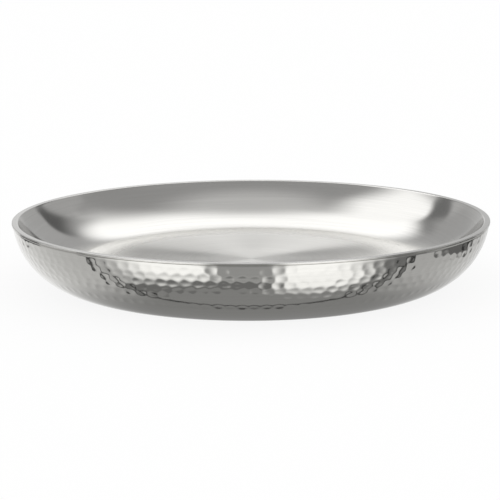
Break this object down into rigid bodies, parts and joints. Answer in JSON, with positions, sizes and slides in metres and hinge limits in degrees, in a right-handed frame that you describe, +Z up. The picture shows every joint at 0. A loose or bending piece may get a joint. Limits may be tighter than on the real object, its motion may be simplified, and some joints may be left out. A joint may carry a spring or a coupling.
{
  "type": "seafood tray",
  "caption": "Round shallow double-wall seafood tray: rounded hammered outer shell, satin inner pan with a flat floor, and a narrow flat welded rim.",
  "frame": {"origin": "on the axis of the tray, in the plane of the table it stands on", "axes": "+Z up along the axis of the tray; X and Y are alike, because the tray is round"},
  "size_m": [0.4, 0.4, 0.0565],
  "materials": {
    "hammered_steel": "stainless steel, hammered in staggered rows and polished bright",
    "satin_steel": "stainless steel, satin, brushed in circles about the axis",
    "weld_steel": "stainless steel weld, ground flush and polished",
    "plug_steel": "stainless steel, plain turned"
  },
  "bodies": {
    "root": {"outer_shell": "hammered_steel", "inner_pan": "satin_steel", "rim_weld": "weld_steel", "vent_plug": "plug_steel"}
  },
  "joints": []
}
